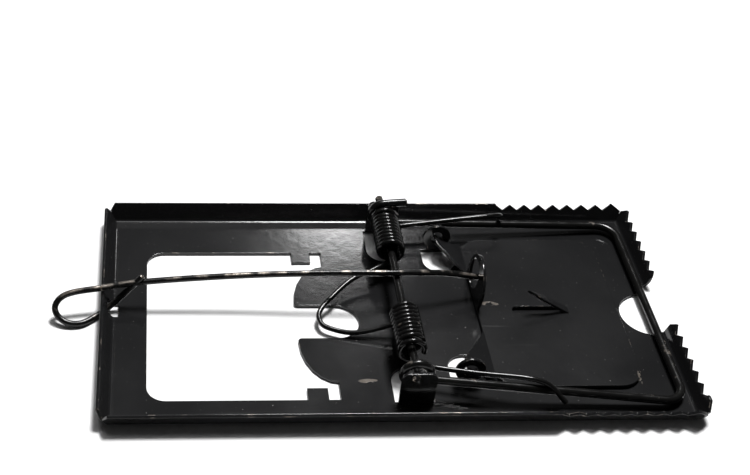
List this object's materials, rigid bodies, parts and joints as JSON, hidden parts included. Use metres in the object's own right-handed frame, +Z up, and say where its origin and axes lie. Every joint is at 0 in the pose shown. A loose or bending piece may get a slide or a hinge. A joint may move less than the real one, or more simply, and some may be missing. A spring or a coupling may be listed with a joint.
{
  "type": "mouse trap",
  "caption": "All-metal snap mouse trap: stamped black tray with toothed flared walls, wire hammer with torsion spring, treadle plate with sear tab, and latch rod.",
  "frame": {"origin": "centre of the floor's outline, on the underside of the tray", "axes": "+X along the length towards the toothed jaw end, +Y across the tray away from the near side wall, +Z up"},
  "size_m": [0.1553, 0.0784, 0.0127],
  "materials": {
    "black_sheet": "gloss",
    "black_wire": "satin",
    "black_spring": "gloss"
  },
  "bodies": {
    "base": {"tray_floor": "black_sheet", "left_wall": "black_sheet", "far_wall": "black_sheet", "near_wall": "black_sheet", "far_end_wall": "black_sheet", "near_end_wall": "black_sheet", "far_axle_lug": "black_sheet", "near_axle_lug": "black_sheet", "far_treadle_eyelet": "black_sheet", "near_treadle_eyelet": "black_sheet", "axle_pin": "black_wire", "far_spring_coil": "black_spring", "near_spring_coil": "black_spring", "spring_centre_loop": "black_spring"},
    "hammer": {"hammer_bar": "black_wire", "far_hammer_arm": "black_wire", "near_hammer_arm": "black_wire", "far_hammer_eye": "black_wire", "near_hammer_eye": "black_wire", "far_spring_leg": "black_spring", "near_spring_leg": "black_spring"},
    "rod": {"latch_rod": "black_wire", "latch_rod_loop": "black_wire"},
    "treadle": {"treadle_plate": "black_sheet", "far_treadle_ear": "black_sheet", "near_treadle_ear": "black_sheet", "sear_tab": "black_sheet", "bait_barb": "black_sheet"}
  },
  "joints": [
    {"name": "hammer_hinge", "type": "hinge", "parent": "base", "child": "hammer", "pos_m": [0.0022, 0, 0.0085], "axis": [0, -1, 0], "range_deg": [0, 189], "stiffness_Nm_per_rad": 0.03, "springref_deg": -45.84},
    {"name": "rod_hinge", "type": "hinge", "parent": "base", "child": "rod", "pos_m": [-0.0717, 0, 0.0036], "axis": [0, -1, 0], "range_deg": [0, 40]},
    {"name": "treadle_hinge", "type": "hinge", "parent": "base", "child": "treadle", "pos_m": [0.0162, 0, 0.005], "axis": [0, -1, 0], "range_deg": [0, 12]}
  ]
}
